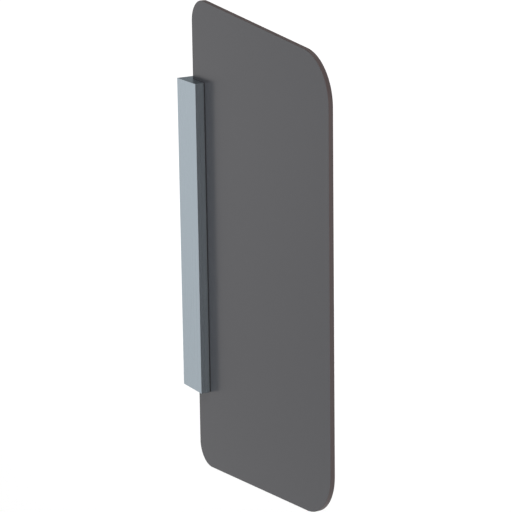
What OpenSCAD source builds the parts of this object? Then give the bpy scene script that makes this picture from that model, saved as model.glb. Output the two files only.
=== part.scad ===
// Urinal privacy screen: a tapered compact-laminate panel held on the wall by a
// short aluminium clamp profile that straddles its wall edge.
// X runs out from the wall, Y across the panel, Z up. The origin is on the wall,
// at the middle of the profile's height. The photographed side faces -Y.

/* [Panel] */
// Panel height at the wall edge
panel_wall_h = 800; // [740:5:1000]
// Panel height at the front edge
panel_front_h = 725; // [640:5:740]
// Panel thickness
panel_t = 8; // [6:0.5:13]
// Distance from the wall to the panel's front edge
projection = 450; // [300:5:600]
// Gap between the wall and the panel's wall edge
wall_gap = 23; // [20:0.5:28]
// Radius of the two corners at the wall
wall_corner_r = 37; // [25:1:60]
// Radius of the two corners at the front
front_corner_r = 79; // [40:1:110]
// Chamfer round both faces of the panel
panel_chamfer = 0.5; // [0.3:0.1:1.5]

/* [Clamp profile] */
// Depth of the profile, out from the wall
profile_d = 62.5; // [58:0.5:80]
// Width of the profile, across the panel
profile_w = 42; // [38:1:50]
// Height of the profile
profile_h = 526; // [440:1:640]
// Wall thickness of the snap-on covers
cover_t = 1.8; // [1.4:0.1:2.4]
// Rounding of the covers' outer edges
cover_edge_r = 0.4; // [0.3:0.1:1.2]
// Setback of the covers from the wall
cover_setback = 0.3; // [0.2:0.1:1.5]
// Gap between the covers' front lip and the panel
lip_gap = 1.2; // [0.8:0.1:1.5]
// Height of the ribs that snap the covers on
snap_h = 1; // [0.6:0.1:1.2]
// Width of the snap ribs
snap_w = 2.4; // [1.6:0.1:3.2]
// Distance from the rail's web, and from the bars' front, to the middle of a rib
snap_inset = 3.6; // [2.5:0.1:4]

/* [Wall rail] */
// Thickness of the rail's web, against the wall
rail_web_t = 3.5; // [3:0.1:4]
// Thickness of the rail's flanges
rail_flange_t = 3.4; // [3.2:0.1:4]
// Diameter of the wall screw holes
wall_hole_d = 6.6; // [5.5:0.1:8]
// Spacing of the outer pair of wall screws
wall_outer_spacing = 420; // [380:5:430]
// Spacing of the inner pair of wall screws
wall_inner_spacing = 140; // [80:5:180]
// Width of the sealing strips in the rail's back
wall_seal_w = 3; // [2:0.5:4]
// Depth of the sealing strips
wall_seal_t = 1.2; // [0.8:0.1:1.6]

/* [Clamp bars] */
// Wall thickness of the hollow clamp bars
bar_wall = 2.2; // [1.8:0.1:2.6]
// Thickness of the tails that reach into the rail
tail_t = 4; // [3.5:0.1:4.5]
// Distance from the panel's wall edge to the hollow part of the bars
bar_setback = 2; // [1.5:0.5:4]
// Thickness of the gaskets beside the panel
gasket_t = 1.2; // [0.8:0.1:2]
// Thickness of the lip seals
lip_seal_t = 2.2; // [1.6:0.1:3]
// Width of the lip seals' body, out from the panel
lip_seal_w = 5; // [3:0.5:6]
// Margin between the edges of a clamp bar and its gasket
gasket_margin = 1; // [0.5:0.5:2]

/* [Fasteners] */
// Number of clamp bolts through the panel
bolt_count = 3; // [2:1:4]
// Distance between neighbouring clamp bolts
bolt_pitch = 200; // [120:5:200]
// Distance from the panel's wall edge to the clamp bolts
bolt_inset = 18; // [16:0.5:20]
// Clamp bolt diameter
bolt_d = 6; // [5:0.5:6]
// Diameter of the clamp bolts' heads
bolt_head_d = 10; // [9:0.5:11]
// Height of the clamp bolts' heads
bolt_head_h = 6; // [4:0.5:6]
// Width of the hexagon socket in the heads
bolt_key = 5; // [4:0.5:6]
// Depth of the hexagon socket
bolt_key_depth = 3; // [2:0.5:4]
// Length of thread that stands out of the nuts
thread_end = 1; // [0:0.5:1]
// Width of the nuts across their flats
nut_af = 10; // [8:0.5:10]
// Height of the nuts
nut_h = 5; // [4:0.5:6]
// Outside diameter of the bushes in the panel
bush_d = 12; // [9:0.5:14]
// Outside diameter of the washers
washer_d = 12; // [11:0.5:12.5]
// Thickness of the washers
washer_t = 1.2; // [0.8:0.1:1.6]
// Number of tie screws on each side
tie_count = 4; // [2:1:4]
// Distance between neighbouring tie screws
tie_pitch = 140; // [100:5:140]
// Tie screw diameter
tie_d = 5; // [4:0.5:5]
// Diameter of the tie screws' countersunk heads
tie_head_d = 10; // [8:0.5:10]
// Width of the hexagon socket in the tie screws
tie_key = 3; // [2:0.5:4]

/* [End caps and spacers] */
// Thickness of the end caps
cap_t = 2.5; // [2:0.1:4]
// Length of the pegs under the end caps
cap_peg_l = 10; // [6:0.5:12]
// Wall thickness of the hollow pegs
cap_peg_wall = 1.6; // [1.2:0.1:2]
// Number of spacer blocks behind the panel
spacer_count = 3; // [2:1:3]
// Height of a spacer block
spacer_h = 30; // [15:1:36]
// Distance between neighbouring spacer blocks
spacer_pitch = 140; // [130:5:150]

/* [Clearances] */
// Gap between parts that slide or snap together
fit_gap = 0.3; // [0.2:0.05:0.4]
// Gap round screws and bushes
hole_gap = 0.1; // [0.05:0.05:0.2]
// Extra diameter of clearance holes
hole_extra = 0.4; // [0.3:0.1:0.8]

/* [Hidden] */
$fn = 96;
panel_fn = 64;
eps = 0.01;

// Profile section, from the outside in
half_w = profile_w / 2;
cover_in = half_w - cover_t;
rail_out = cover_in - fit_gap;
rail_in = rail_out - rail_flange_t;
tail_out = rail_in - fit_gap;
tail_in = tail_out - tail_t;
panel_face = panel_t / 2;
bar_in = panel_face + gasket_t;
lip_in = panel_face + lip_gap;
cavity_out = rail_out - bar_wall;
cavity_in = bar_in + bar_wall;
snap_tip = cover_in - snap_h;

// Profile section, from the wall to the front
bar_back = wall_gap + bar_setback;
rail_front = bar_back - 2 * fit_gap;
tail_back = rail_web_t + fit_gap;
lip_back = profile_d - cover_t;
bar_front = lip_back - lip_seal_t;
cavity_back = bar_back + bar_wall;
cavity_front = bar_front - bar_wall;
bolt_x = wall_gap + bolt_inset;
tie_x = (rail_web_t + rail_front) / 2;
rail_snap_x = rail_web_t + snap_inset;
bar_snap_x = bar_front - snap_inset;
inner_h = profile_h - 2 * cap_t;

// Fasteners
bolt_seat = cavity_in + washer_t;
bolt_l = 2 * bolt_seat + nut_h + thread_end;
access_d = washer_d + 2 * hole_extra;
tie_head_h = (tie_head_d - tie_d) / 2;
bolt_zs = [for (i = [0 : bolt_count - 1]) (i - (bolt_count - 1) / 2) * bolt_pitch];
tie_zs = [for (i = [0 : tie_count - 1]) (i - (tie_count - 1) / 2) * tie_pitch];
spacer_out = tail_in - fit_gap;
spacer_zs = [for (i = [0 : spacer_count - 1]) (i - (spacer_count - 1) / 2) * spacer_pitch];
wall_hole_zs = [for (s = [-1, 1], d = [wall_inner_spacing, wall_outer_spacing]) s * d / 2];
wall_seal_y = rail_out - 1.5 * wall_seal_w;

// Panel outline in the X-Z plane, clockwise from the upper corner at the wall
corners = [
    [wall_gap, panel_wall_h / 2],
    [projection, panel_front_h / 2],
    [projection, -panel_front_h / 2],
    [wall_gap, -panel_wall_h / 2]
];
corner_rs = [wall_corner_r, front_corner_r, front_corner_r, wall_corner_r];

function unit(v) = v / norm(v);
function towards(i, step) = unit(corners[(i + step + 4) % 4] - corners[i]);
function half_angle(i) = acos(towards(i, -1) * towards(i, 1)) / 2;
function bisector(i) = unit(towards(i, -1) + towards(i, 1));
function arc_centre(i) = corners[i] + bisector(i) * corner_rs[i] / sin(half_angle(i));

// Shapes that several pieces share

// Puts a near-side shape on the far side
module far_side() {
    mirror([0, 1, 0]) children();
}

// A section in the X-Y plane, drawn out along Z about the profile's middle
module extrusion(length) {
    linear_extrude(length, center = true) children();
}

// A rectangle given by its corners
module box_2d(x0, y0, x1, y1) {
    translate([x0, y0]) square([x1 - x0, y1 - y0]);
}

// Room for a cover's snap rib, at the cover's inner face
module snap_groove(x, y) {
    translate([x, y]) square([snap_w + 2 * fit_gap, 2 * (snap_h + fit_gap)], center = true);
}

// A hole or a shank along Y, between two planes
module along_y(d, y0, y1) {
    translate([0, y1, 0]) rotate([90, 0, 0]) cylinder(d = d, h = y1 - y0);
}

// A hexagon along Y, given across its flats
module hex_along_y(af, y0, y1) {
    translate([0, y1, 0]) rotate([90, 0, 0]) cylinder(d = af / cos(30), h = y1 - y0, $fn = 6);
}

// Copies at each clamp bolt, and at each tie screw
module at_bolts() {
    for (z = bolt_zs) translate([bolt_x, 0, z]) children();
}

module at_ties() {
    for (z = tie_zs) translate([tie_x, 0, z]) children();
}

// A countersunk head under a face at y = -face, with room round it
module tie_head(face, room) {
    head_r = tie_head_d / 2 + room;
    translate([0, -face, 0]) rotate([-90, 0, 0])
        cylinder(r1 = head_r, r2 = head_r - tie_head_h, h = tie_head_h);
}

// Panel

// The panel's outline in the X-Z plane, as a plate of one thickness
module panel_plate(thickness, inset) {
    rotate([90, 0, 0]) linear_extrude(thickness, center = true) hull()
        for (i = [0 : 3]) translate(arc_centre(i)) circle(corner_rs[i] - inset, $fn = panel_fn);
}

module panel() {
    color("#424346") difference() {
        hull() {
            panel_plate(panel_t, panel_chamfer);
            panel_plate(panel_t - 2 * panel_chamfer, 0);
        }
        at_bolts() along_y(bush_d + 2 * hole_gap, -panel_t, panel_t);
    }
}

// Wall rail and its seals

module wall_rail() {
    color("#b9c2cb") difference() {
        extrusion(inner_h) difference() {
            box_2d(0, -rail_out, rail_front, rail_out);
            box_2d(rail_web_t, -rail_in, rail_front + eps, rail_in);
            for (side = [-1, 1]) {
                translate([0, side * wall_seal_y])
                    box_2d(-eps, -wall_seal_w / 2 - hole_gap, wall_seal_t, wall_seal_w / 2 + hole_gap);
                snap_groove(rail_snap_x, side * cover_in);
            }
        }
        for (z = wall_hole_zs)
            translate([-eps, 0, z]) rotate([0, 90, 0]) cylinder(d = wall_hole_d, h = rail_web_t + 2 * eps);
        at_ties() {
            along_y(tie_d + hole_extra, -rail_out - eps, rail_out + eps);
            tie_head(rail_out + hole_gap, 2 * hole_gap);
            far_side() tie_head(rail_out + hole_gap, 2 * hole_gap);
        }
    }
}

module wall_seal() {
    color("#1c1c1e") extrusion(inner_h)
        translate([0, -wall_seal_y]) box_2d(0, -wall_seal_w / 2, wall_seal_t, wall_seal_w / 2);
}

module near_wall_seal() {
    wall_seal();
}

module far_wall_seal() {
    far_side() wall_seal();
}

// Clamp bars and gaskets

module clamp_bar() {
    color("#aab2ba") difference() {
        extrusion(inner_h) difference() {
            union() {
                box_2d(bar_back, -rail_out, bar_front, -bar_in);
                box_2d(tail_back, -tail_out, bar_back + eps, -tail_in);
            }
            box_2d(cavity_back, -cavity_out, cavity_front, -cavity_in);
            snap_groove(bar_snap_x, -cover_in);
        }
        at_bolts() {
            along_y(access_d, -rail_out - eps, -cavity_out + eps);
            along_y(bolt_d + hole_extra, -cavity_in - eps, -bar_in + eps);
        }
        at_ties() along_y(tie_d + hole_gap, -tail_out - eps, -tail_in + eps);
    }
}

module near_clamp_bar() {
    clamp_bar();
}

module far_clamp_bar() {
    far_side() clamp_bar();
}

module gasket() {
    color("#1c1c1e") difference() {
        extrusion(inner_h) box_2d(bar_back + gasket_margin, -bar_in, bar_front - gasket_margin, -panel_face);
        at_bolts() along_y(bolt_d + 2 * hole_extra, -bar_in - eps, -panel_face + eps);
    }
}

module near_gasket() {
    gasket();
}

module far_gasket() {
    far_side() gasket();
}

// Covers and lip seals

module cover() {
    color("#b4bfc8") extrusion(profile_h) {
        difference() {
            box_2d(cover_setback, -half_w, profile_d, -lip_in);
            box_2d(cover_setback - eps, -cover_in, lip_back, -lip_in + eps);
            box_2d(profile_d - cover_edge_r, -half_w - eps, profile_d + eps, -half_w + cover_edge_r);
        }
        translate([profile_d - cover_edge_r, -half_w + cover_edge_r]) circle(cover_edge_r);
        for (x = [rail_snap_x, bar_snap_x])
            box_2d(x - snap_w / 2, -cover_in - eps, x + snap_w / 2, -snap_tip);
    }
}

module near_cover() {
    cover();
}

module far_cover() {
    far_side() cover();
}

module lip_seal() {
    color("#1c1c1e") {
        extrusion(inner_h) box_2d(bar_front, -panel_face - lip_seal_w, lip_back, -panel_face);
        extrusion(profile_h) box_2d(lip_back - eps, -lip_in, profile_d - fit_gap, -panel_face);
    }
}

module near_lip_seal() {
    lip_seal();
}

module far_lip_seal() {
    far_side() lip_seal();
}

// End caps

// A hollow peg that fills the hole between two corners, less the fit gap
module cap_peg(x0, y0, x1, y1) {
    g = fit_gap;
    w = fit_gap + cap_peg_wall;
    difference() {
        box_2d(x0 + g, y0 + g, x1 - g, y1 - g);
        box_2d(x0 + w, y0 + w, x1 - w, y1 - w);
    }
}

module cap() {
    color("#8f989f") {
        translate([0, 0, inner_h / 2]) linear_extrude(cap_t) difference() {
            box_2d(cover_setback, -cover_in + hole_gap, lip_back - hole_gap, cover_in - hole_gap);
            box_2d(wall_gap - fit_gap, -panel_face - fit_gap, lip_back, panel_face + fit_gap);
            for (x = [rail_snap_x, bar_snap_x], side = [-1, 1])
                snap_groove(x, side * cover_in);
        }
        translate([0, 0, inner_h / 2 - cap_peg_l]) linear_extrude(cap_peg_l + eps) {
            cap_peg(rail_web_t, -tail_in, wall_gap, tail_in);
            for (side = [0, 1]) mirror([0, side])
                cap_peg(cavity_back, -cavity_out, cavity_front, -cavity_in);
        }
    }
}

module top_cap() {
    cap();
}

module bottom_cap() {
    mirror([0, 0, 1]) cap();
}

// Fasteners, bushes and spacers

module clamp_bolts() {
    head_end = bolt_seat + bolt_head_h;
    color("#8d9299") at_bolts() difference() {
        union() {
            along_y(bolt_head_d, -head_end, -bolt_seat);
            along_y(bolt_d, -bolt_seat - eps, bolt_l - bolt_seat);
        }
        hex_along_y(bolt_key, -head_end - eps, -head_end + bolt_key_depth);
    }
}

module clamp_nuts() {
    color("#8d9299") at_bolts() difference() {
        hex_along_y(nut_af, bolt_seat, bolt_seat + nut_h);
        along_y(bolt_d + hole_gap, bolt_seat - eps, bolt_seat + nut_h + eps);
    }
}

module clamp_washers() {
    color("#9aa0a7") at_bolts() for (side = [0, 1]) mirror([0, side, 0]) difference() {
        along_y(washer_d, -bolt_seat, -cavity_in);
        along_y(bolt_d + hole_extra, -bolt_seat - eps, -cavity_in + eps);
    }
}

module panel_bushes() {
    color("#d8d5cc") at_bolts() difference() {
        along_y(bush_d, -panel_face, panel_face);
        along_y(bolt_d + hole_extra, -panel_t, panel_t);
    }
}

module spacer_blocks() {
    color("#d8d5cc") for (z = spacer_zs)
        translate([0, 0, z]) extrusion(spacer_h)
            box_2d(rail_web_t, -spacer_out, wall_gap, spacer_out);
}

module tie_screw() {
    difference() {
        union() {
            tie_head(rail_out, 0);
            along_y(tie_d, -rail_out + tie_head_h - eps, -tail_in);
        }
        hex_along_y(tie_key, -rail_out - eps, -rail_out + tie_head_h);
    }
}

module tie_screws() {
    color("#8d9299") at_ties() {
        tie_screw();
        far_side() tie_screw();
    }
}

panel();
wall_rail();
near_clamp_bar();
far_clamp_bar();
near_gasket();
far_gasket();
near_cover();
far_cover();
near_lip_seal();
far_lip_seal();
near_wall_seal();
far_wall_seal();
top_cap();
bottom_cap();
clamp_bolts();
clamp_nuts();
clamp_washers();
panel_bushes();
spacer_blocks();
tie_screws();
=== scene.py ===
import math

import bmesh
import bpy
from mathutils import Matrix, Vector


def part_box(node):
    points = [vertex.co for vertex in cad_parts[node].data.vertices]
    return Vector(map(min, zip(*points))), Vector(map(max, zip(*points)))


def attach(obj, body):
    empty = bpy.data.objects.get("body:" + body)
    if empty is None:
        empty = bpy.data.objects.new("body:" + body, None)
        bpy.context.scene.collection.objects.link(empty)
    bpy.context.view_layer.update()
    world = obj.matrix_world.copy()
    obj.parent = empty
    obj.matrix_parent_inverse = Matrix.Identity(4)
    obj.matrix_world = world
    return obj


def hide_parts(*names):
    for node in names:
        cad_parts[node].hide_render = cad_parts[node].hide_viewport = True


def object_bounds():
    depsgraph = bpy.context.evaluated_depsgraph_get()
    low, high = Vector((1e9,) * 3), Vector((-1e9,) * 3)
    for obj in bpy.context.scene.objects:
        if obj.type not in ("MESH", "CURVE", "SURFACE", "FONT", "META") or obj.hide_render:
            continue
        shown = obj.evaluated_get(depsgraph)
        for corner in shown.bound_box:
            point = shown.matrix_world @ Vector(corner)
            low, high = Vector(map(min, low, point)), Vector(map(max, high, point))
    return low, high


# Urinal privacy screen, hung on a wall by a clamp profile. Metres: X runs out from the
# wall, Y across the panel with the photographed side at -Y, Z up.

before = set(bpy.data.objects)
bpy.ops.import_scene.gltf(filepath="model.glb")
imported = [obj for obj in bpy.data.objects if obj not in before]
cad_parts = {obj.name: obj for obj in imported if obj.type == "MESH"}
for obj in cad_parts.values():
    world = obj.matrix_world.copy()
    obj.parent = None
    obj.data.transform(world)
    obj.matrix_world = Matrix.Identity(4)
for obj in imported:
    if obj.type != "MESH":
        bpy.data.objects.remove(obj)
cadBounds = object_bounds()
mm = 0.001


# Node graphs

class Wire:  # an output socket; operators on it add Math nodes
    def __init__(self, graph, socket):
        self.graph = graph
        self.socket = socket

    def __add__(self, other):
        return self.graph.maths("ADD", self, other)

    def __sub__(self, other):
        return self.graph.maths("SUBTRACT", self, other)

    def __rsub__(self, other):
        return self.graph.maths("SUBTRACT", other, self)

    def __mul__(self, other):
        return self.graph.maths("MULTIPLY", self, other)

    def __gt__(self, other):
        return self.graph.maths("GREATER_THAN", self, other)

    def __lt__(self, other):
        return self.graph.maths("LESS_THAN", self, other)

    __radd__ = __add__
    __rmul__ = __mul__


class Graph:  # adds nodes to one tree
    def __init__(self, tree):
        self.tree = tree

    def node(self, kind, sockets=None, take=0, **settings):  # returns the output to take
        made = self.tree.nodes.new(kind)
        for name, value in settings.items():
            setattr(made, name, value)
        for key, value in (sockets or {}).items():
            for part in value if isinstance(value, list) else [value]:
                if isinstance(part, Wire):
                    self.tree.links.new(part.socket, made.inputs[key])
                else:
                    made.inputs[key].default_value = part
        return Wire(self, made.outputs[take]) if made.outputs else None

    def maths(self, operation, *values):
        return self.node("ShaderNodeMath", dict(enumerate(values)), operation=operation)

    def sibling(self, wire, name):  # another output of the node that a wire leaves
        return Wire(self, wire.socket.node.outputs[name])

    def blend(self, mask, first, second):  # colours, first where the mask is 0
        sockets = {0: mask, 6: first, 7: second}
        return self.node("ShaderNodeMix", sockets, take=2, data_type="RGBA")

    def axis(self, vector, name):  # X, Y or Z of a vector
        return self.node("ShaderNodeSeparateXYZ", {0: vector}, take=name)

    def noise(self, vector, scale, detail=2.0, roughness=0.5, stretch=(1, 1, 1)):
        at = self.node("ShaderNodeMapping", {"Vector": vector, "Scale": stretch})
        sockets = {"Vector": at, "Scale": scale, "Detail": detail, "Roughness": roughness}
        return self.node("ShaderNodeTexNoise", sockets)

    def fade(self, value, start, end, first, last):  # smooth from first to last
        return self.node("ShaderNodeMapRange", {
            "Value": value, "From Min": start, "From Max": end, "To Min": first, "To Max": last,
        }, interpolation_type="SMOOTHSTEP")

    def rays(self):  # 1 for a ray in view or through glass, and 1 for a mirrored ray
        camera = self.node("ShaderNodeLightPath", take="Is Camera Ray")
        through = self.sibling(camera, "Is Transmission Ray")
        return self.maths("MAXIMUM", camera, through), self.sibling(camera, "Is Glossy Ray")


def newMaterial(name):
    material = bpy.data.materials.new(name)
    material.use_nodes = True
    material.node_tree.nodes.clear()
    return material, Graph(material.node_tree)


# Studio

cameraView = {
    "aim": (0.21774, 0.0, 0.00896),  # on the panel's middle plane
    "distance": 3.8367,
    "azimuth": 60.672,
    "elevation": 15.515,
    "roll": 0.799,
    "lens": 169.762,
}

studio = {
    "ambient": 0.52,  # how bright the world is to diffuse rays
    "ceiling": 0.175,  # how bright it is above, in reflections
    "ceilingStart": 0.25,  # sine of the height at which it is that dark
    "floorDrop": 0.6,  # from the panel's lowest point down to the floor
    "floorSize": 120.0,
    "floorColour": (0.88, 0.88, 0.88, 1),
    "floorLift": (0.22, 0.60),  # brings the floor to white, near the lamps and past them
    "floorFade": (1.0, 6.0),  # distances between which the lamps fade out
    "lamps": [  # where each stands, its side and its level on a surface that faces it
        {"name": "key", "at": (2.4, -2.2, 3.2), "size": 2.6, "level": 0.59},
        {"name": "fill", "at": (-1.1, 3.6, 1.45), "size": 3.2, "level": 0.34},
    ],
}


def addCamera():
    yaw = math.radians(cameraView["azimuth"])
    pitch = math.radians(cameraView["elevation"])
    roll = math.radians(cameraView["roll"])
    up = Vector((0, 0, 1))
    right = Vector((math.cos(yaw), math.sin(yaw), 0))
    level = Vector((-math.sin(yaw), math.cos(yaw), 0))
    ahead = level * math.cos(pitch) - up * math.sin(pitch)
    over = up * math.cos(pitch) + level * math.sin(pitch)
    turned = right * math.cos(roll) - over * math.sin(roll)
    above = right * math.sin(roll) + over * math.cos(roll)
    lens = bpy.data.cameras.new("camera")
    lens.lens = cameraView["lens"]
    camera = bpy.data.objects.new("camera", lens)
    place = Matrix((turned, above, -ahead)).transposed().to_4x4()
    place.translation = Vector(cameraView["aim"]) - ahead * cameraView["distance"]
    camera.matrix_world = place
    bpy.context.scene.collection.objects.link(camera)
    bpy.context.scene.camera = camera


def addWorld():
    world = bpy.data.worlds.new("studio")
    world.use_nodes = True
    world.node_tree.nodes.clear()
    graph = Graph(world.node_tree)
    seen, mirrored = graph.rays()
    ambient = studio["ambient"]
    height = graph.axis(graph.node("ShaderNodeTexCoord", take="Generated"), "Z")
    above = graph.fade(height, 0, studio["ceilingStart"], 1, studio["ceiling"])
    strength = ambient + (1 - ambient) * seen + (above - ambient) * mirrored
    light = graph.node("ShaderNodeBackground", {"Color": (1, 1, 1, 1), "Strength": strength})
    graph.node("ShaderNodeOutputWorld", {"Surface": light})
    bpy.context.scene.world = world


def addFloor():
    half = studio["floorSize"] / 2
    low = cadBounds[0].z - studio["floorDrop"]
    corners = [(x * half, y * half, low) for x, y in ((-1, -1), (1, -1), (1, 1), (-1, 1))]
    mesh = bpy.data.meshes.new("floor")
    mesh.from_pydata(corners, [], [(0, 1, 2, 3)])
    floor = bpy.data.objects.new("floor", mesh)
    bpy.context.scene.collection.objects.link(floor)
    material, graph = newMaterial("floor")
    paint = graph.node("ShaderNodeBsdfDiffuse", {"Color": studio["floorColour"]})
    point = graph.node("ShaderNodeTexCoord", take="Object")
    away = graph.node("ShaderNodeVectorMath", {0: point}, take="Value", operation="LENGTH")
    lift = graph.fade(away, *studio["floorFade"], *studio["floorLift"])
    glow = graph.node("ShaderNodeEmission", {"Strength": lift})
    bright = graph.node("ShaderNodeAddShader", {0: paint, 1: glow})
    seen, mirrored = graph.rays()
    shown = graph.node("ShaderNodeMixShader", {0: seen + mirrored, 1: paint, 2: bright})
    graph.node("ShaderNodeOutputMaterial", {"Surface": shown})
    mesh.materials.append(material)


def addLamps():
    middle = (cadBounds[0] + cadBounds[1]) / 2
    for lamp in studio["lamps"]:
        at = Vector(lamp["at"])
        reach = (middle - at).length
        light = bpy.data.lights.new(lamp["name"], "AREA")
        light.shape = "SQUARE"
        light.size = lamp["size"]
        light.energy = lamp["level"] * (math.pi * reach) ** 2
        shape = bpy.data.objects.new(lamp["name"], light)
        shape.location = at
        shape.rotation_mode = "QUATERNION"
        shape.rotation_quaternion = (middle - at).to_track_quat("-Z", "Y")
        bpy.context.scene.collection.objects.link(shape)


bpy.context.scene.view_settings.view_transform = "Standard"
addCamera()
addWorld()
addFloor()
addLamps()
print("studio ready")


# Finishes. Each noise has its scale per metre.

def mixed(first, second, share):  # two patterns in one, with that share of the first
    return first * share + second * (1 - share)


def swing(pattern, size):  # a noise's changes to both sides of its middle
    return size * (pattern - 0.5)


def surface(graph, sockets, height, depth):  # the shader, with a bump of that depth
    bump = graph.node("ShaderNodeBump", {"Height": height, "Distance": depth})
    shader = graph.node("ShaderNodeBsdfPrincipled", {**sockets, "Normal": bump})
    graph.node("ShaderNodeOutputMaterial", {"Surface": shader})


laminateLooks = {
    "face": (0.0385, 0.0386, 0.0449, 1),
    "faceLight": (0.0405, 0.0406, 0.0469, 1),
    "core": (0.096, 0.071, 0.070, 1),
    "coreDark": (0.062, 0.046, 0.045, 1),
    "decor": 0.15 * mm,  # thickness of the coloured sheet on each face
    "roughness": 0.24,
    "roughnessChange": 0.02,
    "coreRoughness": 0.50,
    "refraction": 1.45,
    "grain": {"scale": 900.0, "detail": 3.0},
    "grainDepth": 0.003 * mm,
    "cloud": {"scale": 9.0, "detail": 3.0},
    "cloudShare": 0.6,  # of the face's change of colour; the grain makes the rest
    "sheets": {"scale": 2600.0, "stretch": (0.02, 1, 0.02)},  # the core's paper sheets
}


def laminateFinish():
    looks = laminateLooks
    material, graph = newMaterial("laminate")
    point = graph.node("ShaderNodeTexCoord", take="Object")
    low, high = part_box("panel")
    coreDepth = (high.y - low.y) / 2 - looks["decor"]
    core = graph.maths("ABSOLUTE", graph.axis(point, "Y")) < coreDepth
    grain = graph.noise(point, **looks["grain"])
    cloud = graph.noise(point, **looks["cloud"])
    sheets = graph.noise(point, **looks["sheets"])
    face = graph.blend(mixed(cloud, grain, looks["cloudShare"]),
                       looks["face"], looks["faceLight"])
    edge = graph.blend(sheets, looks["coreDark"], looks["core"])
    change = looks["roughnessChange"]
    faceRoughness = looks["roughness"] + swing(grain, change) + swing(cloud, change)
    gain = looks["coreRoughness"] - looks["roughness"]
    surface(graph, {
        "Base Color": graph.blend(core, face, edge),
        "Roughness": faceRoughness + gain * core,
        "IOR": looks["refraction"],
    }, grain + core * sheets, looks["grainDepth"])
    return material


metalGrain = {  # the same on every metal
    "lineDetail": 3.0,
    "lineStretch": (1, 1, 0.0004),  # drawing lines run lengthwise
    "lineShare": 0.7,  # of the change of colour; the cloud makes the rest
    "lineRoughness": 0.06,
    "cloud": {"scale": 14.0, "stretch": (1, 1, 0.3)},
    "cloudRoughness": 0.04,
}

coverLooks = {
    "colour": (0.364, 0.411, 0.448, 1),
    "colourLight": (0.394, 0.441, 0.478, 1),
    "grazing": (0.67, 0.75, 0.80, 1),  # the anodised film dulls what glances off it
    "metallic": 0.88,
    "roughness": 0.28,
    "drawLines": 1500.0,  # scale of the lengthwise drawing lines
    "lineDepth": 0.0004 * mm,
}

millLooks = {
    "colour": (0.50, 0.515, 0.53, 1),
    "colourLight": (0.60, 0.615, 0.63, 1),
    "grazing": (0.95, 0.95, 0.95, 1),
    "metallic": 1.0,
    "roughness": 0.38,
    "drawLines": 1100.0,
    "lineDepth": 0.004 * mm,
}

steelLooks = {
    "colour": (0.47, 0.47, 0.475, 1),
    "colourLight": (0.56, 0.56, 0.565, 1),
    "grazing": (0.95, 0.95, 0.95, 1),
    "metallic": 1.0,
    "roughness": 0.30,
    "drawLines": 2400.0,
    "lineDepth": 0.002 * mm,
}


def metalFinish(name, looks):
    material, graph = newMaterial(name)
    point = graph.node("ShaderNodeTexCoord", take="Object")
    lines = graph.noise(point, looks["drawLines"], detail=metalGrain["lineDetail"],
                        stretch=metalGrain["lineStretch"])
    cloud = graph.noise(point, **metalGrain["cloud"])
    change = (swing(lines, metalGrain["lineRoughness"])
              + swing(cloud, metalGrain["cloudRoughness"]))
    surface(graph, {
        "Base Color": graph.blend(mixed(lines, cloud, metalGrain["lineShare"]),
                                  looks["colour"], looks["colourLight"]),
        "Metallic": looks["metallic"],
        "Roughness": looks["roughness"] + change,
        "Specular Tint": looks["grazing"],
    }, lines, looks["lineDepth"])
    return material


plasticGrain = {  # the same on rubber and nylon
    "refraction": 1.48,
    "grainDetail": 4.0,
    "grainRoughness": 0.6,
    "grainShare": 0.5,  # of the change of colour; the cloud makes the rest
    "cloudScale": 30.0,
    "roughnessChange": 0.12,
}

rubberLooks = {
    "dark": (0.022, 0.022, 0.023, 1),
    "light": (0.036, 0.036, 0.037, 1),
    "roughness": 0.62,
    "grainScale": 1400.0,
    "grainDepth": 0.010 * mm,
}

nylonLooks = {
    "dark": (0.62, 0.60, 0.54, 1),
    "light": (0.70, 0.68, 0.62, 1),
    "roughness": 0.50,
    "grainScale": 900.0,
    "grainDepth": 0.006 * mm,
}


def plasticFinish(name, looks):
    material, graph = newMaterial(name)
    point = graph.node("ShaderNodeTexCoord", take="Object")
    grain = graph.noise(point, looks["grainScale"], detail=plasticGrain["grainDetail"],
                        roughness=plasticGrain["grainRoughness"])
    cloud = graph.noise(point, plasticGrain["cloudScale"])
    surface(graph, {
        "Base Color": graph.blend(mixed(grain, cloud, plasticGrain["grainShare"]),
                                  looks["dark"], looks["light"]),
        "Roughness": looks["roughness"] + swing(grain, plasticGrain["roughnessChange"]),
        "IOR": plasticGrain["refraction"],
    }, grain, looks["grainDepth"])
    return material


finishes = {
    "laminate": laminateFinish(),
    "anodised_cover": metalFinish("anodisedCover", coverLooks),
    "cap_metal": metalFinish("capMetal", coverLooks),
    "mill_aluminium": metalFinish("millAluminium", millLooks),
    "stainless_steel": metalFinish("stainlessSteel", steelLooks),
    "rubber_seal": plasticFinish("rubberSeal", rubberLooks),
    "nylon": plasticFinish("nylon", nylonLooks),
}
print("finishes ready:", len(finishes))


# Shared ways of making pieces

edges = {  # angles in degrees
    "broken": 35,  # an edge sharper than this is broken
    "sharp": 50,  # one that is still sharper than this afterwards shades as a corner
    "flat": 1,  # faces that turn less than this are one face
    "merged": 0.02 * mm,  # a node's loose corners nearer than this are one
}


def newTree(name, inputs):  # a geometry tree with named inputs, and wires from them
    tree = bpy.data.node_groups.new(name, "GeometryNodeTree")
    for label, kind in inputs.items():
        tree.interface.new_socket(name=label, in_out="INPUT", socket_type="NodeSocket" + kind)
    tree.interface.new_socket(name="Geometry", in_out="OUTPUT",
                              socket_type="NodeSocketGeometry")
    graph = Graph(tree)
    source = graph.node("NodeGroupInput")
    return graph, {label: graph.sibling(source, label) for label in inputs}


def endTree(graph, shape, material):
    real = graph.node("GeometryNodeRealizeInstances", {0: shape})
    painted = graph.node("GeometryNodeSetMaterial", {"Geometry": real, "Material": material})
    graph.node("NodeGroupOutput", {"Geometry": painted})
    return graph.tree


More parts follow.
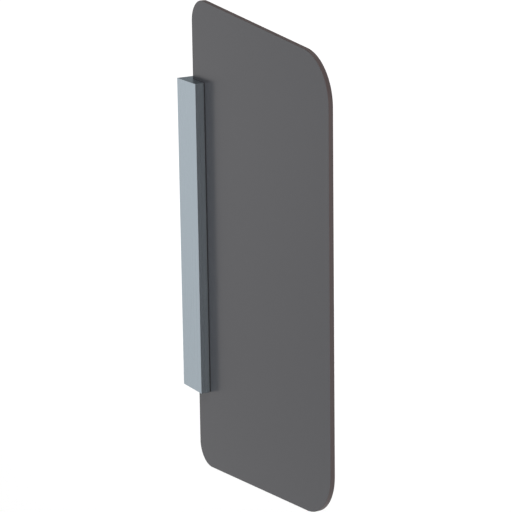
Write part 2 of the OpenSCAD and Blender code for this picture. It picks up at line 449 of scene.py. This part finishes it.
def solidFrom(graph, curve, length):  # fills flat curves and draws them out along Z
    flat = graph.node("GeometryNodeFillCurve", {"Curve": curve}, mode="NGONS")
    travel = graph.node("ShaderNodeCombineXYZ", {"Z": length})
    drawn = graph.node("GeometryNodeExtrudeMesh",
                       {"Mesh": flat, "Offset": travel, "Individual": False}, mode="FACES")
    back = graph.node("GeometryNodeFlipFaces", {"Mesh": flat})
    whole = graph.node("GeometryNodeJoinGeometry", {0: [drawn, back]})
    touching = 0.001 * mm
    return graph.node("GeometryNodeMergeByDistance", {"Geometry": whole, "Distance": touching})


def plainMesh(shape):  # applies a shape's modifiers
    graph = bpy.context.evaluated_depsgraph_get()
    mesh = bpy.data.meshes.new_from_object(shape.evaluated_get(graph))
    shape.modifiers.clear()
    shape.data = mesh
    mesh.name = shape.name
    return shape


def grow(name, tree, inputs, drawing=None):
    shape = bpy.data.objects.new(name, drawing or bpy.data.meshes.new(name))
    bpy.context.scene.collection.objects.link(shape)
    modifier = shape.modifiers.new("build", "NODES")
    modifier.node_group = tree
    for item in tree.interface.items_tree:
        if item.in_out == "INPUT" and item.name in inputs:
            modifier[item.identifier] = inputs[item.name]
    return plainMesh(shape)


def shade(shape, sharpAngle):  # smooth, but for edges sharper than this in degrees
    shape.data.shade_smooth()
    shape.data.set_sharp_from_angle(angle=math.radians(sharpAngle))


def soften(shape, width, segments=2, sharpAngle=edges["sharp"]):  # breaks the sharp edges
    bevel = shape.modifiers.new("bevel", "BEVEL")
    bevel.limit_method = "ANGLE"
    bevel.angle_limit = math.radians(edges["broken"])
    bevel.width = width
    bevel.segments = segments
    bevel.use_clamp_overlap = False
    bevel.loop_slide = False  # even widths, also where the joins of a flat face meet a hole
    plainMesh(shape)
    shade(shape, sharpAngle)
    normals = shape.modifiers.new("normals", "WEIGHTED_NORMAL")
    normals.keep_sharp = True
    return plainMesh(shape)


def settle(shape, slot, *nodes):  # hands a finished piece to the frame
    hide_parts(*nodes)
    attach(shape, "root")
    return shape


def deburred(name, node, slot, width):  # a node's own shape with broken edges
    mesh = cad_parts[node].data.copy()
    if "custom_normal" in mesh.attributes:
        mesh.attributes.remove(mesh.attributes["custom_normal"])
    build = bmesh.new()
    build.from_mesh(mesh)
    bmesh.ops.remove_doubles(build, verts=build.verts, dist=edges["merged"])
    bmesh.ops.dissolve_limit(build, angle_limit=math.radians(edges["flat"]),
                             verts=build.verts, edges=build.edges)
    build.to_mesh(mesh)
    build.free()
    mesh.materials.clear()
    mesh.materials.append(finishes[slot])
    shape = bpy.data.objects.new(name, mesh)
    bpy.context.scene.collection.objects.link(shape)
    soften(shape, width)
    return settle(shape, slot, node)


# Panel

boltRow = {  # the panel's holes, and what goes through them
    "pitch": 200 * mm,
    "count": 3,
}

panelSizes = {
    "wallHeight": 800 * mm,
    "frontHeight": 725 * mm,
    "wallRadius": 37 * mm,
    "frontRadius": 79 * mm,
    "cornerSteps": 40,
    "chamfer": 0.5 * mm,
    "sharpAngle": 20,  # the chamfer shades as a flat
    "holeInset": 18 * mm,
    "holeRadius": 6.1 * mm,
    "holeSteps": 64,
}


def boardTree():
    graph, given = newTree("taperedBoard", {
        "Wall Height": "Float", "Front Height": "Float", "Wall Edge": "Float",
        "Front Edge": "Float", "Thickness": "Float", "Wall Radius": "Float",
        "Front Radius": "Float", "Corner Steps": "Int", "Hole Radius": "Float",
        "Hole Steps": "Int", "Hole X": "Float", "Hole Pitch": "Float",
        "Hole Count": "Int", "Material": "Material",
    })
    wallTop = given["Wall Height"] * 0.5
    frontTop = given["Front Height"] * 0.5
    corners = [
        {"X": given["Wall Edge"], "Y": wallTop},
        {"X": given["Front Edge"], "Y": frontTop},
        {"X": given["Front Edge"], "Y": frontTop * -1},
        {"X": given["Wall Edge"], "Y": wallTop * -1},
    ]
    points = {f"Point {i + 1}": graph.node("ShaderNodeCombineXYZ", corner)
              for i, corner in enumerate(corners)}
    outline = graph.node("GeometryNodeCurvePrimitiveQuadrilateral", points, mode="POINTS")
    index = graph.node("GeometryNodeInputIndex")
    atFront = (index > 0.5) * (index < 2.5)  # corners 1 and 2
    radius = given["Wall Radius"] + (given["Front Radius"] - given["Wall Radius"]) * atFront
    rounded = graph.node("GeometryNodeFilletCurve", {
        "Curve": outline, "Radius": radius, "Count": given["Corner Steps"]}, mode="POLY")
    first = (given["Hole Count"] - 1) * given["Hole Pitch"] * -0.5
    line = graph.node("GeometryNodeMeshLine", {
        "Count": given["Hole Count"],
        "Start Location": graph.node("ShaderNodeCombineXYZ", {
            "X": given["Hole X"], "Y": first}),
        "Offset": graph.node("ShaderNodeCombineXYZ", {"Y": given["Hole Pitch"]})})
    ring = graph.node("GeometryNodeCurvePrimitiveCircle", {
        "Resolution": given["Hole Steps"], "Radius": given["Hole Radius"]})
    holes = graph.node("GeometryNodeInstanceOnPoints", {"Points": line, "Instance": ring})
    realHoles = graph.node("GeometryNodeRealizeInstances", {0: holes})
    drawing = graph.node("GeometryNodeJoinGeometry", {0: [rounded, realHoles]})
    board = solidFrom(graph, drawing, given["Thickness"])
    upright = graph.node("GeometryNodeTransform", {
        "Geometry": board,
        "Translation": graph.node("ShaderNodeCombineXYZ", {"Y": given["Thickness"] * 0.5}),
        "Rotation": (math.radians(90), 0, 0)})
    return endTree(graph, upright, given["Material"])


def makePanel():
    low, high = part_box("panel")
    sizes = panelSizes
    shape = grow("panelBoard", boardTree(), {
        "Wall Height": sizes["wallHeight"],
        "Front Height": sizes["frontHeight"],
        "Wall Edge": low.x,
        "Front Edge": high.x,
        "Thickness": high.y - low.y,
        "Wall Radius": sizes["wallRadius"],
        "Front Radius": sizes["frontRadius"],
        "Corner Steps": sizes["cornerSteps"],
        "Hole Radius": sizes["holeRadius"],
        "Hole Steps": sizes["holeSteps"],
        "Hole X": low.x + sizes["holeInset"],
        "Hole Pitch": boltRow["pitch"],
        "Hole Count": boltRow["count"],
        "Material": finishes["laminate"],
    })
    soften(shape, sizes["chamfer"], segments=1, sharpAngle=sizes["sharpAngle"])
    settle(shape, "laminate", "panel")


makePanel()
print("panel made")


# Drawn sections: the covers

def sectionTree():
    graph, given = newTree("drawnSection", {
        "Geometry": "Geometry", "Length": "Float", "Corner Steps": "Int",
        "Material": "Material",
    })
    curve = graph.node("GeometryNodeMeshToCurve", {"Mesh": given["Geometry"]})
    radius = graph.node("GeometryNodeInputNamedAttribute", {"Name": "cornerRadius"},
                        data_type="FLOAT")
    rounded = graph.node("GeometryNodeFilletCurve", {
        "Curve": curve, "Radius": radius, "Count": given["Corner Steps"],
        "Limit Radius": True}, mode="POLY")
    bar = solidFrom(graph, rounded, given["Length"])
    centred = graph.node("GeometryNodeTransform", {
        "Geometry": bar,
        "Translation": graph.node("ShaderNodeCombineXYZ", {"Z": given["Length"] * -0.5})})
    return endTree(graph, centred, given["Material"])


def sectionDrawing(name, loop):  # a closed outline of (x, y, corner radius)
    count = len(loop)
    mesh = bpy.data.meshes.new(name)
    mesh.from_pydata([(x, y, 0) for x, y, radius in loop],
                     [(i, (i + 1) % count) for i in range(count)], [])
    stored = mesh.attributes.new("cornerRadius", "FLOAT", "POINT")
    stored.data.foreach_set("value", [radius for x, y, radius in loop])
    return mesh


coverSizes = {
    "wall": 1.8 * mm,
    "outerRadius": 0.3 * mm,
    "innerRadius": 0.5 * mm,
    "lipRadius": 0.2 * mm,
    "cornerSteps": 6,
    "ribPlaces": (7.1 * mm, 54.9 * mm),
    "ribWidth": 2.4 * mm,
    "ribHeight": 1.0 * mm,
    "ribSlope": 0.4 * mm,
    "ribRadius": 0.3 * mm,
    "endEdge": 0.15 * mm,
}

drawnSection = sectionTree()


def makeCover(name, node, side):  # side is -1 for the photographed side and 1 for the other
    low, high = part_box(node)
    outer = max(abs(low.y), abs(high.y))
    lip = min(abs(low.y), abs(high.y))
    sizes = coverSizes
    inner = outer - sizes["wall"]
    loop = [
        (low.x, outer, sizes["lipRadius"]),
        (high.x, outer, sizes["outerRadius"]),
        (high.x, lip, sizes["lipRadius"]),
        (high.x - sizes["wall"], lip, sizes["lipRadius"]),
        (high.x - sizes["wall"], inner, sizes["innerRadius"]),
    ]
    for place in reversed(sizes["ribPlaces"]):
        half = sizes["ribWidth"] / 2
        tip = inner - sizes["ribHeight"]
        loop += [
            (place + half, inner, 0),
            (place + half - sizes["ribSlope"], tip, sizes["ribRadius"]),
            (place - half + sizes["ribSlope"], tip, sizes["ribRadius"]),
            (place - half, inner, 0),
        ]
    loop.append((low.x, inner, sizes["lipRadius"]))
    mirrored = [(x, side * y, radius) for x, y, radius in loop]
    shape = grow(name, drawnSection, {
        "Length": high.z - low.z,
        "Corner Steps": sizes["cornerSteps"],
        "Material": finishes["anodised_cover"],
    }, sectionDrawing(name + "Section", mirrored))
    build = bmesh.new()
    build.from_mesh(shape.data)
    bmesh.ops.recalc_face_normals(build, faces=build.faces)
    build.to_mesh(shape.data)
    build.free()
    soften(shape, sizes["endEdge"])
    settle(shape, "anodised_cover", node)


makeCover("nearCover", "near_cover", -1)
makeCover("farCover", "far_cover", 1)
print("covers made")


# Turned parts: bolts, nuts, washers, bushes and tie screws, in rows along the profile

def rowTree():
    graph, given = newTree("fastenerRow", {
        "Geometry": "Geometry", "Centre X": "Float", "Pitch": "Float", "Count": "Int",
        "Both Sides": "Bool", "Material": "Material",
    })
    lowest = (given["Count"] - 1) * given["Pitch"] * -0.5
    line = graph.node("GeometryNodeMeshLine", {
        "Count": given["Count"],
        "Start Location": graph.node("ShaderNodeCombineXYZ", {
            "X": given["Centre X"], "Z": lowest}),
        "Offset": graph.node("ShaderNodeCombineXYZ", {"Z": given["Pitch"]})})
    near = graph.node("GeometryNodeInstanceOnPoints", {
        "Points": line, "Instance": given["Geometry"]})
    far = graph.node("GeometryNodeInstanceOnPoints", {
        "Points": line, "Instance": given["Geometry"], "Rotation": (0, 0, math.pi)})
    both = graph.node("GeometryNodeJoinGeometry", {0: [near, far]})
    chosen = graph.node("GeometryNodeSwitch", {
        "Switch": given["Both Sides"], "False": near, "True": both}, input_type="GEOMETRY")
    return endTree(graph, chosen, given["Material"])


turnedParts = {
    "steps": 72,  # round a bolt, nut, washer or bush
    "sharpAngle": 32,
}

fastenerRow = rowTree()


def placeRow(name, node, slot, mesh, row, bothSides=False):
    low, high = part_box(node)
    shape = grow(name, fastenerRow, {
        "Centre X": (low.x + high.x) / 2,
        "Pitch": row["pitch"],
        "Count": row["count"],
        "Both Sides": bothSides,
        "Material": finishes[slot],
    }, mesh)
    shade(shape, turnedParts["sharpAngle"])
    settle(shape, slot, node)


def turnedMesh(name, rows, steps, ring=False):  # rows of (radius, height) about the Y axis
    build = bmesh.new()
    loops = []
    for radius, height in rows:
        if radius == 0:
            loops.append([build.verts.new((0, height, 0))] * steps)
            continue
        loop = []
        for step in range(steps):
            angle = 2 * math.pi * step / steps
            reach = radius(angle) if callable(radius) else radius
            level = height(angle) if callable(height) else height
            loop.append(build.verts.new(
                (reach * math.cos(angle), level, reach * math.sin(angle))))
        loops.append(loop)
    if ring:
        loops.append(loops[0])
    for first, second in zip(loops, loops[1:]):
        for step in range(steps):
            after = (step + 1) % steps
            corners = first[step], first[after], second[after], second[step]
            build.faces.new(dict.fromkeys(corners))  # a pole counts once
    bmesh.ops.recalc_face_normals(build, faces=build.faces)
    mesh = bpy.data.meshes.new(name)
    build.to_mesh(mesh)
    build.free()
    return mesh


def hexagon(flats):  # the radius of a hexagon at an angle
    return lambda angle: flats / 2 / math.cos(angle % (math.pi / 3) - math.pi / 6)


socketShape = {
    "floorShare": 0.98,  # how much of the hexagon's inner circle the drill point takes
    "mouthGap": 0.05 * mm,  # from the hexagon's corners to its round mouth
}


def socketRows(top, sizes):  # a hexagon socket, from its bottom up to its rim
    flats = sizes["socket"]
    floor = top + sizes["socketDepth"]
    return [
        (0, floor + sizes["drillPoint"]),
        (flats / 2 * socketShape["floorShare"], floor),
        (hexagon(flats), floor),
        (hexagon(flats), top + sizes["socketEdge"]),
        (flats / math.sqrt(3) + socketShape["mouthGap"], top),
    ]


def threadRows(start, end, sizes):  # a thread that runs out at both ends
    count = round((end - start) / sizes["pitch"] * sizes["rowsPerTurn"])
    rows = []
    for i in range(count + 1):
        level = start + (end - start) * i / count
        turns = min(i, count - i) / sizes["rowsPerTurn"]  # from the nearer end
        depth = sizes["threadDepth"] * min(1, turns)

        def reach(angle, level=level, depth=depth):
            turn = (level / sizes["pitch"] - angle / (2 * math.pi)) % 1
            return sizes["shank"] - depth * abs(2 * turn - 1)

        rows.append((reach, level))
    return rows


boltSizes = {
    "seat": 8.6 * mm,  # how far the head's underside lies from the middle plane
    "headRadius": 5.0 * mm,
    "headEdge": 0.5 * mm,
    "headUnderEdge": 0.2 * mm,
    "knurlDepth": 0.14 * mm,
    "knurlFrom": 0.9 * mm,
    "knurlTo": 5.5 * mm,
    "socket": 5.0 * mm,
    "socketDepth": 3.0 * mm,
    "socketEdge": 0.3 * mm,
    "drillPoint": 0.8 * mm,
    "shank": 3.0 * mm,
    "neck": 0.3 * mm,
    "pitch": 1.0 * mm,
    "threadDepth": 0.45 * mm,
    "rowsPerTurn": 6,
    "tip": 0.5 * mm,
}


def makeBolts():
    low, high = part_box("clamp_bolts")
    sizes, steps = boltSizes, turnedParts["steps"]
    top, seat, end = low.y, -sizes["seat"], high.y
    head, shank, neck = sizes["headRadius"], sizes["shank"], sizes["neck"]

    def knurl(angle):
        return head - sizes["knurlDepth"] * (round(angle * steps / (2 * math.pi)) % 2)

    rows = socketRows(top, sizes) + [
        (head - sizes["headEdge"], top),
        (head, top + sizes["headEdge"]),
        (knurl, top + sizes["knurlFrom"]),
        (knurl, top + sizes["knurlTo"]),
        (head - sizes["headUnderEdge"], seat),
        (shank + neck, seat),
        (shank, seat + neck),
    ] + threadRows(seat + 2 * neck, end - sizes["tip"], sizes) + [
        (shank - sizes["tip"], end),
        (0, end),
    ]
    placeRow("clampBolts", "clamp_bolts", "stainless_steel",
             turnedMesh("clampBolt", rows, steps), boltRow)


nutSizes = {
    "flats": 10.0 * mm,
    "bore": 3.05 * mm,
    "face": 4.75 * mm,  # radius of the flat ends
    "slope": math.tan(math.radians(30)),
    "mouth": 0.35 * mm,
}


def makeNuts():
    low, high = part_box("clamp_nuts")
    start, end = low.y, high.y
    bore, mouth, face = nutSizes["bore"], nutSizes["mouth"], nutSizes["face"]
    outside = hexagon(nutSizes["flats"])

    def slope(angle):
        return (outside(angle) - face) * nutSizes["slope"]

    rows = [
        (bore, start + mouth), (bore + mouth, start), (face, start),
        (outside, lambda angle: start + slope(angle)),
        (outside, lambda angle: end - slope(angle)),
        (face, end), (bore + mouth, end), (bore, end - mouth),
    ]
    placeRow("clampNuts", "clamp_nuts", "stainless_steel",
             turnedMesh("clampNut", rows, turnedParts["steps"], ring=True), boltRow)


def chamferedRing(name, inner, outer, start, end, edge):  # a tube with its corners cut
    rows = [
        (inner, start + edge), (inner + edge, start), (outer - edge, start),
        (outer, start + edge), (outer, end - edge), (outer - edge, end),
        (inner + edge, end), (inner, end - edge),
    ]
    return turnedMesh(name, rows, turnedParts["steps"], ring=True)


washerSizes = {
    "bore": 3.2 * mm,
    "edge": 0.12 * mm,
    "thickness": 1.2 * mm,
}


def makeWashers():
    low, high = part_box("clamp_washers")
    washer = chamferedRing("clampWasher", washerSizes["bore"], (high.x - low.x) / 2, low.y,
                           low.y + washerSizes["thickness"], washerSizes["edge"])
    placeRow("clampWashers", "clamp_washers", "stainless_steel", washer, boltRow,
             bothSides=True)


bushSizes = {
    "bore": 3.2 * mm,
    "edge": 0.5 * mm,
}


def makeBushes():
    low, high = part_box("panel_bushes")
    bush = chamferedRing("panelBush", bushSizes["bore"], (high.x - low.x) / 2, low.y,
                         high.y, bushSizes["edge"])
    placeRow("panelBushes", "panel_bushes", "nylon", bush, boltRow)


tieRow = {
    "pitch": 140 * mm,
    "count": 4,
}

tieSizes = {
    "steps": 48,
    "length": 7.7 * mm,
    "headRadius": 4.9 * mm,
    "headEdge": 0.1 * mm,
    "headHeight": 2.5 * mm,
    "socket": 3.0 * mm,
    "socketDepth": 1.9 * mm,
    "socketEdge": 0.2 * mm,
    "drillPoint": 0.4 * mm,
    "shank": 2.5 * mm,
    "neck": 0.1 * mm,
    "pitch": 0.8 * mm,
    "threadDepth": 0.35 * mm,
    "rowsPerTurn": 6,
    "tip": 0.4 * mm,
}


def makeTieScrews():
    sizes = tieSizes
    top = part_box("tie_screws")[0].y
    end = top + sizes["length"]
    under = top + sizes["headHeight"]
    head, shank = sizes["headRadius"], sizes["shank"]
    rows = socketRows(top, sizes) + [
        (head - sizes["headEdge"], top),
        (head, top + sizes["headEdge"]),
        (shank, under),
    ] + threadRows(under + sizes["neck"], end - sizes["tip"], sizes) + [
        (shank - sizes["tip"], end),
        (0, end),
    ]
    placeRow("tieScrews", "tie_screws", "stainless_steel",
             turnedMesh("tieScrew", rows, sizes["steps"]), tieRow, bothSides=True)


makeBolts()
makeNuts()
makeWashers()
makeBushes()
makeTieScrews()
print("fasteners made")


# Pieces that keep the shape of their node, with their edges broken by this width

deburredPieces = [
    ("wallRail", "wall_rail", "mill_aluminium", 0.12 * mm),
    ("nearClampBar", "near_clamp_bar", "mill_aluminium", 0.15 * mm),
    ("farClampBar", "far_clamp_bar", "mill_aluminium", 0.15 * mm),
    ("nearGasket", "near_gasket", "rubber_seal", 0.2 * mm),
    ("farGasket", "far_gasket", "rubber_seal", 0.2 * mm),
    ("topCap", "top_cap", "cap_metal", 0.2 * mm),
    ("bottomCap", "bottom_cap", "cap_metal", 0.2 * mm),
    ("nearLipSeal", "near_lip_seal", "rubber_seal", 0.3 * mm),
    ("farLipSeal", "far_lip_seal", "rubber_seal", 0.3 * mm),
    ("nearWallSeal", "near_wall_seal", "rubber_seal", 0.2 * mm),
    ("farWallSeal", "far_wall_seal", "rubber_seal", 0.2 * mm),
    ("spacerBlocks", "spacer_blocks", "nylon", 0.5 * mm),
]

for name, node, slot, width in deburredPieces:
    deburred(name, node, slot, width)
print("deburred pieces made:", len(deburredPieces))
